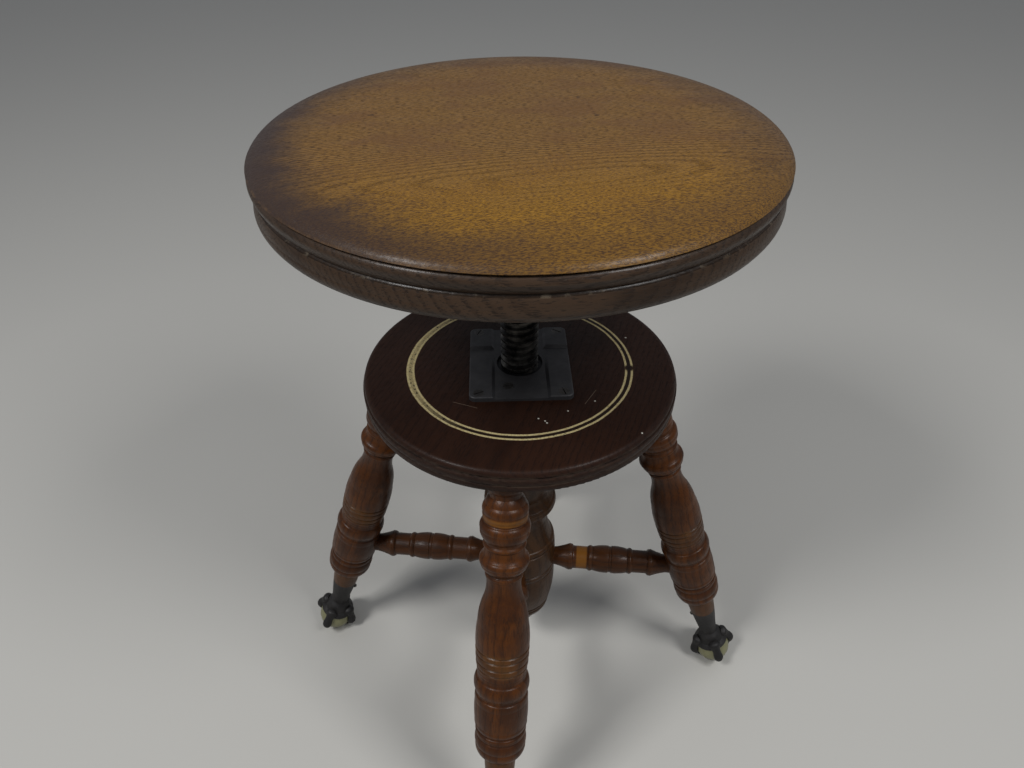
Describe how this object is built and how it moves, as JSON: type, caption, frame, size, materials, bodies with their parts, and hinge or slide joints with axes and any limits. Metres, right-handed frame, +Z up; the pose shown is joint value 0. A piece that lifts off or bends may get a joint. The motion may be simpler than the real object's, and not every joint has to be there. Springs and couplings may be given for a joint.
{
  "type": "revolving piano stool",
  "caption": "Height-adjustable round wooden stool: a threaded spindle turns in a nut on a lower disc that stands on splayed turned legs with claw and ball feet.",
  "frame": {"origin": "on the floor, at the bottom centre of the stool's box, on the spindle axis", "axes": "+Z up along the spindle axis; the front leg stands on -Y and the right leg on +X"},
  "size_m": [0.4574, 0.4574, 0.5735],
  "materials": {
    "seat_oak": "waxed golden oak, satin",
    "rim_oak": "dark stained oak, satin",
    "disc_wood": "dark mahogany stain with worn gold lines",
    "turned_wood": "brown stain, worn satin",
    "cast_iron": "blackened",
    "foot_iron": "black japanned, worn",
    "dark_steel": "oiled and darkened",
    "screw_steel": "darkened",
    "ball_glass": "aged greenish glass"
  },
  "bodies": {
    "base": {"base_disc": "disc_wood", "centre_hub": "turned_wood", "spindle_nut": "cast_iron", "nut_plate": "dark_steel", "nut_plate_screws": "screw_steel", "foot_pins": "screw_steel", "leg_front": "turned_wood", "stretcher_front": "turned_wood", "claw_foot_front": "foot_iron", "glass_ball_front": "ball_glass", "leg_right": "turned_wood", "stretcher_right": "turned_wood", "claw_foot_right": "foot_iron", "glass_ball_right": "ball_glass", "leg_back": "turned_wood", "stretcher_back": "turned_wood", "claw_foot_back": "foot_iron", "glass_ball_back": "ball_glass", "leg_left": "turned_wood", "stretcher_left": "turned_wood", "claw_foot_left": "foot_iron", "glass_ball_left": "ball_glass"},
    "stop_washer": {"spindle_stop_washer": "dark_steel"},
    "seat": {"seat_top_board": "seat_oak", "seat_rim_board": "rim_oak", "seat_iron": "cast_iron", "seat_iron_screws": "screw_steel", "seat_iron_pin": "screw_steel", "spindle": "dark_steel", "spindle_stop_pin": "screw_steel"}
  },
  "joints": [
    {"name": "seat_lift", "type": "slide", "parent": "base", "child": "stop_washer", "axis": [0, 0, 1], "range_m": [-0.11747, 0.0254]},
    {"name": "seat_turn", "type": "hinge", "parent": "stop_washer", "child": "seat", "pos_m": [0, 0, 0.323], "axis": [0, 0, 1], "range_deg": [-6660, 1440]}
  ],
  "couplings": [
    {"joint": "seat_lift", "follows": "seat_turn", "m_per_rad": 0.0010106}
  ]
}
